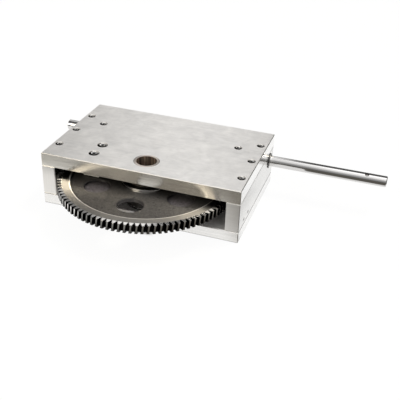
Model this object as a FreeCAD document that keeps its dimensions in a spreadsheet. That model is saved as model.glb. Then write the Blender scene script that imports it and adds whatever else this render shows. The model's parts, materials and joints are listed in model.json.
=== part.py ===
# Worm gearbox with an open front and back, machined from aluminium plate.
# A right-hand worm, cut on a long input shaft, drives a cast-iron wheel that turns between the plates.
# The output shaft is not part of it: its bore through the bushes and the wheel hub is left open.
# Frame: origin on the wheel axis at the underside of the bottom plate, X along the input shaft
# towards its long end, Y towards the back, Z up. Millimetres.

import FreeCAD, Part
import math
import os
import re
import Sketcher
from FreeCAD import Placement, Rotation, Vector

doc = FreeCAD.newDocument("worm_gearbox")

# Driving sizes
SIZES = [
    ("top_thickness", 17.4625, "top plate"),
    ("bottom_thickness", 14.2875, "bottom plate"),
    ("edge_break", 0.8, "chamfer on the plate and block edges"),
    ("axis_from_front", 29.5, "wheel axis behind the front edges of the plates"),
    ("shaft_to_back", 20.2417, "back edges of the plates behind the input shaft axis"),
    ("block_thickness", 17.4625, "end blocks, along the input shaft"),
    ("block_height", 38.1, "end blocks and rear posts, between the plates"),
    ("wheel_side_gap", 1.5875, "wheel teeth to each end block"),
    ("tooth_count", 100.0, "worm wheel"),
    ("module_size", 25.4 / 12.0, "tooth size, twelve diametral pitch"),
    ("pressure_angle", 14.5, "thread flank, degrees"),
    ("worm_pitch_diameter", 19.05, "worm thread at its pitch line"),
    ("worm_half_turns", 4.0, "turns of thread each side of the wheel centre"),
    ("worm_neck", 2.0, "worm root carried on beyond each end of the thread"),
    ("worm_neck_taper", 1.0, "from the worm root up to the shaft"),
    ("worm_head_room", 0.35, "thread tip to the top plate"),
    ("thread_sunk", 0.5, "thread section carried on below the worm root"),
    ("thread_thinning", 0.06, "taken off each thread flank"),
    ("space_widening", 0.06, "added to each side of a tooth space"),
    ("tip_gap", 0.33, "thread tip to the bottom of a tooth space"),
    ("face_width", 11.1125, "wheel rim and teeth, top to bottom"),
    ("rim_bevel", 0.4, "chamfer around the tips of the teeth"),
    ("rim_width", 15.35, "flat of the rim with the ends of the teeth"),
    ("web_drop", 3.43, "web below the top of the rim"),
    ("web_rise", 2.2, "web above the bottom of the rim"),
    ("upper_hub_radius", 30.0, "hub above the web"),
    ("lower_hub_radius", 26.0, "hub below the web"),
    ("turned_break", 0.8, "chamfer on the turned edges of the rim and hub"),
    ("cast_fillet", 1.6, "where the web meets the rim and hub"),
    ("output_diameter", 25.4, "bore of the wheel hub"),
    ("key_width", 6.35, "keyway in the hub"),
    ("key_depth", 3.2, "keyway, beyond the bore"),
    ("recess_circle_radius", 60.5, "round recesses in the web"),
    ("recess_diameter", 31.75, "round recesses in the web"),
    ("recess_depth", 3.0, "round recesses in the web"),
    ("recess_break", 0.7, "chamfer around the recesses"),
    ("recess_count", 6.0, "round recesses in the web"),
    ("recess_start", -86.0, "angle of the recess that is bored right through, degrees"),
    ("bush_outer_diameter", 31.75, "output bushes"),
    ("bush_break", 0.5, "chamfer around the ends of the output bushes"),
    ("bush_running_gap", 0.04, "radial gap between the output shaft size and the bush bore"),
    ("hub_washer_diameter", 44.0, "thrust washers above and below the hub"),
    ("lower_washer_thickness", 3.175, "thrust washer below the hub"),
    ("wheel_end_gap", 0.2, "play above and below the wheel hub"),
    ("washer_bore_gap", 0.4, "radial gap of the hub washers to the output shaft size"),
    ("shaft_diameter", 14.2875, "input shaft"),
    ("shaft_right_reach", 152.4, "input shaft beyond the right end block"),
    ("shaft_left_reach", 38.1, "input shaft beyond the left end block"),
    ("shaft_end_break", 0.9, "chamfer on the shaft ends"),
    ("centre_diameter", 5.0, "centre holes in the shaft ends"),
    ("centre_depth", 4.3, "centre holes in the shaft ends, to the point"),
    ("cross_hole_diameter", 4.9, "pin hole near the long end of the shaft"),
    ("cross_hole_from_end", 25.4, "pin hole, from the end of the shaft"),
    ("cross_hole_lean", 23.0, "pin hole, leaning to the front from upright, degrees"),
    ("shaft_bush_diameter", 19.05, "shaft bushes in the end blocks"),
    ("shaft_flange_gap", 0.3875, "flange of the shaft bushes to the top plate"),
    ("shaft_flange_thickness", 2.4, "flange of the shaft bushes, on the inside"),
    ("shaft_running_gap", 0.03, "radial gap between the input shaft and its bushes"),
    ("shaft_end_play", 0.1, "end block to retaining ring"),
    ("ring_diameter", 19.8, "retaining rings"),
    ("ring_thickness", 1.1, "retaining rings"),
    ("ring_opening", 9.0, "opening of the retaining rings"),
    ("ring_groove_depth", 0.75, "grooves for the retaining rings"),
    ("ring_groove_gap", 0.05, "width of a groove beyond its ring, each side"),
    ("ring_seat_gap", 0.02, "radial gap of a ring at the bottom of its groove"),
    ("thread_gap", 0.05, "radial gap of a screw thread in its tapped hole"),
    ("screw_gap", 0.2, "radial gap of a screw shank in its hole"),
    ("screw_front", 31.7, "first block screw behind the front edges"),
    ("screw_to_shaft", 21.158, "last block screw in front of the input shaft axis"),
    ("screw_shank", 3.505, "block and post screws"),
    ("screw_thread", 2.65, "threaded end of those screws, drawn at the thread root"),
    ("screw_head", 5.74, "head of those screws"),
    ("screw_head_height", 3.505, "head of those screws"),
    ("screw_socket", 2.778, "hexagon socket of those screws, across flats"),
    ("screw_socket_depth", 1.7, "hexagon socket of those screws"),
    ("screw_reach", 12.0, "thread inside a block or post"),
    ("screw_recess_gap", 1.8925, "radial gap of a head in its counterbore"),
    ("screw_proud", 0.3, "head tops above the face of the top plate"),
    ("base_screw_sunk", 0.5, "head tops below the face of the bottom plate"),
    ("recess_mouth", 0.4, "chamfer around the counterbores"),
    ("tapped_spare", 2.0, "tapped hole beyond the end of its screw"),
    ("post_angle", 39.8, "rear posts, about the wheel axis from the X axis, degrees"),
    ("post_gap", 5.17, "wheel teeth to each rear post"),
    ("post_diameter", 15.875, "rear posts"),
    ("pad_screw_offset", 67.0, "steady pad screws, to the left of the wheel axis"),
    ("pad_screw_front", 24.1, "first steady pad screw behind the front edges"),
    ("pad_screw_pitch", 24.4, "between the steady pad screws"),
    ("pad_width", 20.0, "steady pad, along the input shaft"),
    ("pad_margin", 10.0, "steady pad beyond its screws"),
    ("pad_gap", 0.6, "steady pad to the wheel web"),
    ("pad_shank", 4.83, "steady pad screws"),
    ("pad_thread", 3.7, "threaded end of those screws, drawn at the thread root"),
    ("pad_head", 7.925, "head of those screws"),
    ("pad_head_height", 4.83, "head of those screws"),
    ("pad_socket", 3.97, "hexagon socket of those screws, across flats"),
    ("pad_socket_depth", 2.4, "hexagon socket of those screws"),
    ("pad_recess_gap", 2.3875, "radial gap of a head in its counterbore"),
    ("head_break", 0.35, "chamfer on the screw heads"),
    ("pad_screw_spare", 2.27, "end of those screws above the lower face of the pad"),
    ("side_hole_diameter", 4.2, "tapped holes in the right side, drawn at the thread root"),
    ("side_hole_front", 22.6, "first tapped hole in the right side, behind the front edge"),
    ("side_hole_pitch", 19.2, "between the two tapped holes in the right side"),
    ("side_hole_rise", 6.2125, "those holes above the bottom plate"),
    ("side_hole_depth", 12.0, "those holes"),
    ("set_screw_diameter", 7.94, "set screws in the lower hub"),
    ("set_screw_sunk", 0.6, "set screws below the outside of the hub"),
    ("set_screw_socket", 3.97, "hexagon socket of the set screws, across flats"),
    ("set_screw_socket_depth", 4.75, "hexagon socket of the set screws"),
    ("set_screw_gap", 0.12, "radial gap of the set screws in their holes"),
    ("set_screw_height", 6.0, "set screws above the lower end of the hub"),
    ("hole_overrun", 2.6, "cross holes carried on into the air, beyond the hub and the input shaft"),
]

# Sizes that follow from others
DERIVED = {
    "cavity_top": "bottom_thickness + block_height",
    "teeth": "round(tooth_count)",
    "wheel_radius": "teeth * module_size / 2",
    "tip_radius": "wheel_radius + module_size",
    "worm_radius": "worm_pitch_diameter / 2",
    "thread_tip": "worm_radius + module_size",
    "thread_root": "worm_radius - module_size - tip_gap",
    "worm_pitch": "pi * module_size",
    "centre_distance": "wheel_radius + worm_radius",
    "plate_width": "2 * (tip_radius + wheel_side_gap + block_thickness)",
    "shaft_back": "axis_from_front + centre_distance",
    "plate_depth": "shaft_back + shaft_to_back",
    "wheel_mid_height": "cavity_top - worm_head_room - thread_tip",
    "rim_flat_radius": "tip_radius - rim_bevel",
    "rim_inner_radius": "rim_flat_radius - rim_width",
    "rim_top": "wheel_mid_height + face_width / 2",
    "hub_bottom": "bottom_thickness + lower_washer_thickness + wheel_end_gap",
    "hub_length": "rim_top - hub_bottom",
    "rim_low": "hub_length - face_width",
    "web_low": "rim_low + web_rise",
    "web_high": "hub_length - web_drop",
    "bush_bore_radius": "output_diameter / 2 + bush_running_gap",
    "washer_bore_radius": "output_diameter / 2 + washer_bore_gap",
    "upper_washer_thickness": "cavity_top - rim_top - wheel_end_gap",
    "recess_across": "recess_circle_radius * cos(recess_start * 1 deg)",
    "recess_back": "recess_circle_radius * sin(recess_start * 1 deg)",
    "screw_pitch": "(shaft_back - screw_to_shaft - screw_front) / 2",
    "screw_hole": "screw_shank + 2 * screw_gap",
    "screw_recess": "screw_head + 2 * screw_recess_gap",
    "screw_recess_depth": "screw_head_height - screw_proud",
    "base_recess_depth": "screw_head_height + base_screw_sunk",
    "tapped_hole": "screw_thread + 2 * thread_gap",
    "tapped_depth": "screw_reach + tapped_spare",
    "post_radius": "tip_radius + post_gap + post_diameter / 2",
    "post_across": "post_radius * cos(post_angle * 1 deg)",
    "post_back": "post_radius * sin(post_angle * 1 deg)",
    "pad_hole": "pad_shank + 2 * screw_gap",
    "pad_recess": "pad_head + 2 * pad_recess_gap",
    "pad_recess_depth": "pad_head_height - screw_proud",
    "pad_thickness": "cavity_top - rim_top + web_drop - pad_gap",
    "pad_reach": "pad_thickness - pad_screw_spare",
    "pad_tapped_hole": "pad_thread + 2 * thread_gap",
    "shaft_length": "shaft_left_reach + plate_width + shaft_right_reach",
    "worm_middle": "shaft_left_reach + plate_width / 2",
    "worm_half": "round(worm_half_turns) * worm_pitch",
    "groove_radius": "shaft_diameter / 2 - ring_groove_depth",
    "groove_width": "ring_thickness + 2 * ring_groove_gap",
    "left_groove": "shaft_left_reach - shaft_end_play - ring_thickness - ring_groove_gap",
    "right_groove": "shaft_left_reach + plate_width + shaft_end_play - ring_groove_gap",
    "thread_slope": "tan(pressure_angle * 1 deg)",
    "thread_start": "worm_middle - worm_half + worm_pitch / 4",
    "thread_half_tip": "worm_pitch / 4 - thread_thinning - module_size * thread_slope",
    "thread_foot": "thread_root - thread_sunk",
    "thread_half_foot": "worm_pitch / 4 - thread_thinning + (worm_radius - thread_foot) * thread_slope",
    "shaft_bush_bore": "shaft_diameter / 2 + shaft_running_gap",
    "shaft_flange_radius": "cavity_top - wheel_mid_height - shaft_flange_gap",
    "shaft_flange_end": "block_thickness + shaft_flange_thickness",
    "set_screw_start": "output_diameter / 2 + key_depth",
    "set_screw_length": "lower_hub_radius - set_screw_start - set_screw_sunk",
    "set_screw_hole": "set_screw_diameter + 2 * set_screw_gap",
}

sheet = doc.addObject("Spreadsheet::Sheet", "Sizes")
for row, (name, number, note) in enumerate(SIZES, start=1):
    sheet.set("A%d" % row, name)
    sheet.set("B%d" % row, repr(number))
    sheet.setAlias("B%d" % row, name)
    sheet.set("C%d" % row, note)
doc.recompute()

SIZE_WORDS = re.compile(r"\b(" + "|".join(entry[0] for entry in SIZES) + r")\b")
DERIVED_WORDS = re.compile(r"\b(" + "|".join(DERIVED) + r")\b")


def bound(words):
    """Expression text in which each size name points at its cell."""
    while DERIVED_WORDS.search(words):
        words = DERIVED_WORDS.sub(lambda found: "(%s)" % DERIVED[found.group(1)], words)
    return SIZE_WORDS.sub(r"Sizes.\1", words)


def value(words):
    """Number that an expression of size names gives now."""
    result = sheet.evalExpression(bound(words))
    return float(getattr(result, "Value", result))


# Building helpers
def origin_plane(body, role):
    return [item for item in body.Origin.OriginFeatures if item.Role == role][0]


def new_body(label):
    body = doc.addObject("PartDesign::Body", label)
    body.Label = label
    return body


def new_sketch(body, role, lift=None):
    sketch = body.newObject("Sketcher::SketchObject", body.Name + "_sketch")
    sketch.AttachmentSupport = [(origin_plane(body, role), "")]
    sketch.MapMode = "FlatFace"
    if lift:
        sketch.setExpression("AttachmentOffset.Base.z", bound(lift))
    return sketch


def hold_point(sketch, item, spot, across, up):
    """Place a sketch point by its two distances from the sketch origin."""
    for kind, axis, words in (("DistanceX", -2, across), ("DistanceY", -1, up)):
        if words == "0":
            sketch.addConstraint(Sketcher.Constraint("PointOnObject", item, spot, axis))
            continue
        number = sketch.addConstraint(Sketcher.Constraint(kind, -1, 1, item, spot, value(words)))
        sketch.setExpression("Constraints[%d]" % number, bound(words))


def draw_polygon(sketch, corners):
    first = sketch.GeometryCount
    spots = [Vector(value(across), value(up), 0) for across, up in corners]
    count = len(spots)
    for index in range(count):
        sketch.addGeometry(Part.LineSegment(spots[index], spots[(index + 1) % count]), False)
    for index in range(count):
        following = first + (index + 1) % count
        sketch.addConstraint(Sketcher.Constraint("Coincident", first + index, 2, following, 1))
    for index, (across, up) in enumerate(corners):
        hold_point(sketch, first + index, 1, across, up)


def draw_circles(sketch, centres, diameter):
    for across, up in centres:
        middle = Vector(value(across), value(up), 0)
        item = sketch.addGeometry(Part.Circle(middle, Vector(0, 0, 1), value(diameter) / 2), False)
        hold_point(sketch, item, 3, across, up)
        number = sketch.addConstraint(Sketcher.Constraint("Diameter", item, value(diameter)))
        sketch.setExpression("Constraints[%d]" % number, bound(diameter))


def rectangle(left, front, right, back):
    return [(left, front), (right, front), (right, back), (left, back)]


def hexagon(across_flats):
    corner = across_flats + " / sqrt(3)"
    half = across_flats + " / sqrt(3) / 2"
    flat = across_flats + " / 2"
    return [
        (corner, "0"), (half, flat), ("-" + half, flat),
        ("-" + corner, "0"), ("-" + half, "-" + flat), (half, "-" + flat),
    ]


def pad(body, sketch, length):
    feature = body.newObject("PartDesign::Pad", body.Name + "_pad")
    feature.Profile = sketch
    feature.setExpression("Length", bound(length))
    sketch.Visibility = False
    return feature


def pocket(body, sketch, depth=None, flipped=False):
    """Cut against the sketch normal, or along it when flipped; through everything without a depth."""
    feature = body.newObject("PartDesign::Pocket", body.Name + "_pocket")
    feature.Profile = sketch
    if depth:
        feature.setExpression("Length", bound(depth))
    else:
        feature.Type = 1
    feature.Reversed = flipped
    sketch.Visibility = False
    return feature


def dress_edges(body, kind, size_name, chosen, amount):
    """Chamfer or fillet the edges of the body's newest feature for which the test is true."""
    doc.recompute()
    tip = body.Tip
    names = ["Edge%d" % index for index, edge in enumerate(tip.Shape.Edges, start=1) if chosen(edge)]
    feature = body.newObject("PartDesign::" + kind, "%s_%s" % (body.Name, kind.lower()))
    feature.Base = (tip, names)
    feature.setExpression(size_name, bound(amount))
    return feature


def chamfer(body, chosen, amount):
    return dress_edges(body, "Chamfer", "Size", chosen, amount)


def fillet(body, chosen, amount):
    return dress_edges(body, "Fillet", "Radius", chosen, amount)


def level_circle(*circles):
    """Test for an edge that is a level circle of one of these radii and heights."""
    wanted = [(value(radius), value(height)) for radius, height in circles]

    def test(edge):
        curve = edge.Curve
        if not isinstance(curve, Part.Circle):
            return False
        return any(abs(curve.Radius - radius) < 1e-4 and abs(curve.Center.z - height) < 1e-4
                   for radius, height in wanted)

    return test


def turned(label, profile):
    """Body turned about its own Z axis from a closed outline of radius and height."""
    body = new_body(label)
    sketch = new_sketch(body, "XZ_Plane")
    draw_polygon(sketch, profile)
    feature = body.newObject("PartDesign::Revolution", label + "_turned")
    feature.Profile = sketch
    feature.ReferenceAxis = (sketch, ["V_Axis"])
    feature.Angle = 360
    sketch.Visibility = False
    return body


def ring_profile(inner, outer, length):
    return [(inner, "0"), (outer, "0"), (outer, length), (inner, length)]


def holes_down(body, spots, diameter, start, depth=None):
    """Round holes downward from a height, right through without a depth."""
    sketch = new_sketch(body, "XY_Plane", start)
    draw_circles(sketch, spots, diameter)
    return pocket(body, sketch, depth)


def holes_up(body, spots, diameter, depth):
    """Round holes upward from the lowest face."""
    sketch = new_sketch(body, "XY_Plane")
    draw_circles(sketch, spots, diameter)
    return pocket(body, sketch, depth, flipped=True)


def place(item, across="0", back="0", up="0"):
    for letter, words in (("x", across), ("y", back), ("z", up)):
        if words != "0":
            item.setExpression("Placement.Base." + letter, bound(words))


def turn(item, axis, degrees):
    item.Placement = Placement(Vector(0, 0, 0), Rotation(axis, degrees))


NODES = []


def keep(item):
    NODES.append(item)
    return item


# Plates: each is drawn from its front left corner
BLOCK_X = ["block_thickness / 2", "plate_width - block_thickness / 2"]
SCREW_Y = ["screw_front", "screw_front + screw_pitch", "screw_front + 2 * screw_pitch"]
BLOCK_SPOTS = [(across, back) for across in BLOCK_X for back in SCREW_Y]
POST_SPOTS = [
    ("plate_width / 2 - post_across", "axis_from_front + post_back"),
    ("plate_width / 2 + post_across", "axis_from_front + post_back"),
]
PAD_SPOTS = [
    ("plate_width / 2 - pad_screw_offset", "pad_screw_front"),
    ("plate_width / 2 - pad_screw_offset", "pad_screw_front + pad_screw_pitch"),
]
AXIS_SPOT = [("plate_width / 2", "axis_from_front")]


def plate(label, thickness):
    body = new_body(label)
    sketch = new_sketch(body, "XY_Plane")
    draw_polygon(sketch, rectangle("0", "0", "plate_width", "plate_depth"))
    pad(body, sketch, thickness)
    chamfer(body, lambda edge: True, "edge_break")
    holes_down(body, AXIS_SPOT, "bush_outer_diameter", thickness)
    holes_down(body, BLOCK_SPOTS + POST_SPOTS, "screw_hole", thickness)
    return body


top_plate = keep(plate("top_plate", "top_thickness"))
holes_down(top_plate, BLOCK_SPOTS + POST_SPOTS, "screw_recess", "top_thickness", "screw_recess_depth")
holes_down(top_plate, PAD_SPOTS, "pad_hole", "top_thickness")
holes_down(top_plate, PAD_SPOTS, "pad_recess", "top_thickness", "pad_recess_depth")
chamfer(top_plate, level_circle(("screw_recess / 2", "top_thickness"), ("pad_recess / 2", "top_thickness")),
        "recess_mouth")
place(top_plate, "-plate_width / 2", "-axis_from_front", "cavity_top")

bottom_plate = keep(plate("bottom_plate", "bottom_thickness"))
holes_up(bottom_plate, BLOCK_SPOTS + POST_SPOTS, "screw_recess", "base_recess_depth")
chamfer(bottom_plate, level_circle(("screw_recess / 2", "0")), "recess_mouth")
place(bottom_plate, "-plate_width / 2", "-axis_from_front")


# End blocks: each is drawn from its front left corner
def end_block(label):
    body = new_body(label)
    sketch = new_sketch(body, "XY_Plane")
    draw_polygon(sketch, rectangle("0", "0", "block_thickness", "plate_depth"))
    pad(body, sketch, "block_height")
    chamfer(body, lambda edge: True, "edge_break")
    bore = new_sketch(body, "YZ_Plane")
    draw_circles(bore, [("shaft_back", "wheel_mid_height - bottom_thickness")], "shaft_bush_diameter")
    pocket(body, bore, flipped=True)
    spots = [("block_thickness / 2", back) for back in SCREW_Y]
    holes_down(body, spots, "tapped_hole", "block_height", "tapped_depth")
    holes_up(body, spots, "tapped_hole", "tapped_depth")
    return body


left_block = keep(end_block("left_end_block"))
place(left_block, "-plate_width / 2", "-axis_from_front", "bottom_thickness")

right_block = keep(end_block("right_end_block"))
side_holes = new_sketch(right_block, "YZ_Plane", "block_thickness")
draw_circles(side_holes, [
    ("side_hole_front", "side_hole_rise"),
    ("side_hole_front + side_hole_pitch", "side_hole_rise"),
], "side_hole_diameter")
pocket(right_block, side_holes, "side_hole_depth")
place(right_block, "plate_width / 2 - block_thickness", "-axis_from_front", "bottom_thickness")

# Rear posts
for label, side in (("left_rear_post", "-post_across"), ("right_rear_post", "post_across")):
    post = keep(turned(label, ring_profile("0", "post_diameter / 2", "block_height")))
    holes_down(post, [("0", "0")], "tapped_hole", "block_height", "tapped_depth")
    holes_up(post, [("0", "0")], "tapped_hole", "tapped_depth")
    place(post, side, "post_back", "bottom_thickness")


# Output bushes and hub washers
def bush_profile(length):
    """Outline of an output bush, with its outer edges broken."""
    return [
        ("bush_bore_radius", "0"),
        ("bush_outer_diameter / 2 - bush_break", "0"),
        ("bush_outer_diameter / 2", "bush_break"),
        ("bush_outer_diameter / 2", length + " - bush_break"),
        ("bush_outer_diameter / 2 - bush_break", length),
        ("bush_bore_radius", length),
    ]


def washer_profile(thickness):
    return ring_profile("washer_bore_radius", "hub_washer_diameter / 2", thickness)


for label, profile, height in (
    ("top_bush", bush_profile("top_thickness"), "cavity_top"),
    ("bottom_bush", bush_profile("bottom_thickness"), "0"),
    ("upper_hub_washer", washer_profile("upper_washer_thickness"), "rim_top + wheel_end_gap"),
    ("lower_hub_washer", washer_profile("lower_washer_thickness"), "bottom_thickness"),
):
    sleeve = keep(turned(label, profile))
    place(sleeve, up=height)

# Worm wheel blank: turned from the lower end of its hub
wheel_blank = turned("wheel_blank", [
    ("output_diameter / 2", "0"),
    ("lower_hub_radius", "0"),
    ("lower_hub_radius", "web_low"),
    ("rim_inner_radius", "web_low"),
    ("rim_inner_radius", "rim_low"),
    ("rim_flat_radius", "rim_low"),
    ("tip_radius", "rim_low + rim_bevel"),
    ("tip_radius", "hub_length - rim_bevel"),
    ("rim_flat_radius", "hub_length"),
    ("rim_inner_radius + turned_break", "hub_length"),
    ("rim_inner_radius", "hub_length - turned_break"),
    ("rim_inner_radius", "web_high"),
    ("upper_hub_radius", "web_high"),
    ("upper_hub_radius", "hub_length - turned_break"),
    ("upper_hub_radius - turned_break", "hub_length"),
    ("output_diameter / 2", "hub_length"),
])
fillet(wheel_blank, level_circle(("rim_inner_radius", "web_high"), ("upper_hub_radius", "web_high"),
                                 ("rim_inner_radius", "web_low"), ("lower_hub_radius", "web_low")),
       "cast_fillet")
keyway = new_sketch(wheel_blank, "XY_Plane", "hub_length")
draw_polygon(keyway, rectangle("-key_width / 2", "0", "key_width / 2", "output_diameter / 2 + key_depth"))
pocket(wheel_blank, keyway)

RECESS_SPOT = [("recess_across", "recess_back")]
recess = holes_down(wheel_blank, RECESS_SPOT, "recess_diameter", "web_high", "recess_depth")
doc.recompute()
recesses = wheel_blank.newObject("PartDesign::PolarPattern", "web_recesses")
recesses.Originals = [recess]
recesses.Axis = (origin_plane(wheel_blank, "Z_Axis"), [""])
recesses.Angle = 360
wheel_blank.Tip = recesses
recesses.setExpression("Occurrences", bound("recess_count"))
holes_down(wheel_blank, RECESS_SPOT, "recess_diameter", "hub_length")
chamfer(wheel_blank, level_circle(("recess_diameter / 2", "web_high")), "recess_break")

for role, flipped in (("XZ_Plane", False), ("YZ_Plane", True)):
    set_hole = new_sketch(wheel_blank, role)
    draw_circles(set_hole, [("0", "set_screw_height")], "set_screw_hole")
    pocket(wheel_blank, set_hole, "lower_hub_radius + hole_overrun", flipped)

# Tooth spaces: each is the room that the turning worm thread sweeps out of the wheel,
# carried on at full depth across the whole face. Levels are in half face widths, depths in modules.
SWING_STEPS = 240
FLANK_STEPS = 16
SPACE_LEVELS = [-1.06, -0.7, -0.35, 0.0, 0.35, 0.7, 1.06]
SPACE_OVERHANG = 0.7
SPACE_LEAST_DEPTH = 0.2


def tooth_space(height):
    """Corners of one tooth space in the plane this far above the middle of the wheel."""
    wheel_radius = value("wheel_radius")
    distance = value("centre_distance")
    worm_radius = value("worm_radius")
    pitch = value("worm_pitch")
    slope = value("thread_slope")
    module = value("module_size")
    tip = value("tip_radius")
    half_thread = pitch / 4 + value("space_widening")
    reach = value("thread_tip + tip_gap")
    root = distance - reach
    floor = distance - math.sqrt(reach ** 2 - height ** 2)
    top = tip + SPACE_OVERHANG * module

    def flank(radius, side):
        """Furthest angle that this side of the thread reaches at a radius of the wheel."""
        limit = math.acos(min(1.0, floor / radius))
        furthest = None
        for index in range(SWING_STEPS + 1):
            swing = limit * (2 * index / SWING_STEPS - 1)
            toward = distance - radius * math.cos(swing)
            half = half_thread - (math.hypot(toward, height) - worm_radius) * slope
            along = pitch * math.atan2(-height, toward) / (2 * math.pi) + side * half
            angle = swing - (radius * math.sin(swing) - along) / wheel_radius
            if furthest is None or side * angle > side * furthest:
                furthest = angle
        return furthest

    corners = []
    for side in (1, -1):
        upper = max(tip, floor + SPACE_LEAST_DEPTH * module)
        outer = flank(upper, side)
        steepest = None
        for index in range(FLANK_STEPS):
            radius = floor + (upper - floor) * index / FLANK_STEPS
            rise = side * (flank(radius, side) - outer) / (radius - upper)
            if steepest is None or rise < steepest:
                steepest = rise
        low = outer + side * steepest * (root - upper)
        high = outer + side * steepest * (top - upper)
        corners.append(((root, low), (top, high)))
    (right_root, right_top), (left_root, left_top) = corners
    lift = height + value("wheel_mid_height - hub_bottom")
    return [Vector(radius * math.sin(angle), radius * math.cos(angle), lift)
            for radius, angle in (left_root, right_root, right_top, left_top)]


outlines = []
for level in SPACE_LEVELS:
    corners = tooth_space(level * value("face_width / 2"))
    outlines.append(Part.makePolygon(corners + corners[:1]))
one_space = Part.makeLoft(outlines, True, False)
spaces = []
tooth_total = int(value("teeth"))
for index in range(tooth_total):
    copy = one_space.copy()
    copy.rotate(Vector(0, 0, 0), Vector(0, 0, 1), 360.0 * index / tooth_total)
    spaces.append(copy)
tooth_spaces = doc.addObject("Part::Feature", "tooth_spaces")
tooth_spaces.Shape = Part.makeCompound(spaces)

worm_wheel = keep(doc.addObject("Part::Cut", "worm_wheel"))
worm_wheel.Label = "worm_wheel"
worm_wheel.Base = wheel_blank
worm_wheel.Tool = tooth_spaces
place(worm_wheel, up="hub_bottom")

# Input shaft: turned about its own axis from its left end, then laid along X
input_shaft = keep(turned("worm_shaft", [
    ("0", "centre_depth"),
    ("centre_diameter / 2", "0"),
    ("shaft_diameter / 2 - shaft_end_break", "0"),
    ("shaft_diameter / 2", "shaft_end_break"),
    ("shaft_diameter / 2", "left_groove"),
    ("groove_radius", "left_groove"),
    ("groove_radius", "left_groove + groove_width"),
    ("shaft_diameter / 2", "left_groove + groove_width"),
    ("shaft_diameter / 2", "worm_middle - worm_half - worm_neck - worm_neck_taper"),
    ("thread_root", "worm_middle - worm_half - worm_neck"),
    ("thread_root", "worm_middle + worm_half + worm_neck"),
    ("shaft_diameter / 2", "worm_middle + worm_half + worm_neck + worm_neck_taper"),
    ("shaft_diameter / 2", "right_groove"),
    ("groove_radius", "right_groove"),
    ("groove_radius", "right_groove + groove_width"),
    ("shaft_diameter / 2", "right_groove + groove_width"),
    ("shaft_diameter / 2", "shaft_length - shaft_end_break"),
    ("shaft_diameter / 2 - shaft_end_break", "shaft_length"),
    ("centre_diameter / 2", "shaft_length"),
    ("0", "shaft_length - centre_depth"),
]))
thread_sketch = new_sketch(input_shaft, "XZ_Plane")
draw_polygon(thread_sketch, [
    ("thread_foot", "thread_start - thread_half_foot"),
    ("thread_tip", "thread_start - thread_half_tip"),
    ("thread_tip", "thread_start + thread_half_tip"),
    ("thread_foot", "thread_start + thread_half_foot"),
])
doc.recompute()
thread = input_shaft.newObject("PartDesign::AdditiveHelix", "worm_thread")
thread.Profile = thread_sketch
thread.ReferenceAxis = (thread_sketch, ["V_Axis"])
thread.Mode = 0
thread.setExpression("Pitch", bound("worm_pitch"))
thread.setExpression("Height", bound("2 * worm_half - worm_pitch / 2"))
thread.LeftHanded = False
thread_sketch.Visibility = False

cross_sketch = new_sketch(input_shaft, "YZ_Plane")
cross_lean = Rotation(Vector(0, 1, 0), value("cross_hole_lean"))
cross_sketch.AttachmentOffset = Placement(Vector(0, 0, 0), cross_lean)
cross_sketch.setExpression("AttachmentOffset.Rotation.Angle", bound("cross_hole_lean * 1 deg"))
draw_circles(cross_sketch, [("0", "shaft_length - cross_hole_from_end")], "cross_hole_diameter")
cross_hole = pocket(input_shaft, cross_sketch, "shaft_diameter + 2 * hole_overrun")
cross_hole.Midplane = True
turn(input_shaft, Vector(0, 1, 0), 90)
place(input_shaft, "-plate_width / 2 - shaft_left_reach", "centre_distance", "wheel_mid_height")

# Shaft bushes and retaining rings, all turned about the shaft axis
FLANGED_BUSH = [
    ("shaft_bush_bore", "0"),
    ("shaft_bush_diameter / 2", "0"),
    ("shaft_bush_diameter / 2", "block_thickness"),
    ("shaft_flange_radius", "block_thickness"),
    ("shaft_flange_radius", "shaft_flange_end"),
    ("shaft_bush_bore", "shaft_flange_end"),
]
RING = ring_profile("groove_radius + ring_seat_gap", "ring_diameter / 2", "ring_thickness")

for side, sign, outward in (("left", "-", -90), ("right", "", 90)):
    bush = keep(turned(side + "_shaft_bush", FLANGED_BUSH))
    turn(bush, Vector(0, 1, 0), -outward)
    ring = keep(turned(side + "_retaining_ring", RING))
    opening = new_sketch(ring, "XY_Plane", "ring_thickness")
    draw_polygon(opening, rectangle("0", "-ring_opening / 2", "ring_diameter", "ring_opening / 2"))
    pocket(ring, opening)
    turn(ring, Vector(0, 1, 0), outward)
    for item, out in ((bush, "0"), (ring, "shaft_end_play")):
        place(item, "%s(plate_width / 2 + %s)" % (sign, out), "centre_distance", "wheel_mid_height")

# Steady pad under the top plate, beside the hub
steady_pad = keep(new_body("steady_pad"))
pad_sketch = new_sketch(steady_pad, "XY_Plane")
draw_polygon(pad_sketch, rectangle("0", "0", "pad_width", "pad_screw_pitch + 2 * pad_margin"))
pad(steady_pad, pad_sketch, "pad_thickness")
PAD_HOLES = [("pad_width / 2", "pad_margin"), ("pad_width / 2", "pad_margin + pad_screw_pitch")]
holes_down(steady_pad, PAD_HOLES, "pad_tapped_hole", "pad_thickness")
place(steady_pad, "-pad_screw_offset - pad_width / 2", "pad_screw_front - axis_from_front - pad_margin",
      "cavity_top - pad_thickness")


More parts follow.
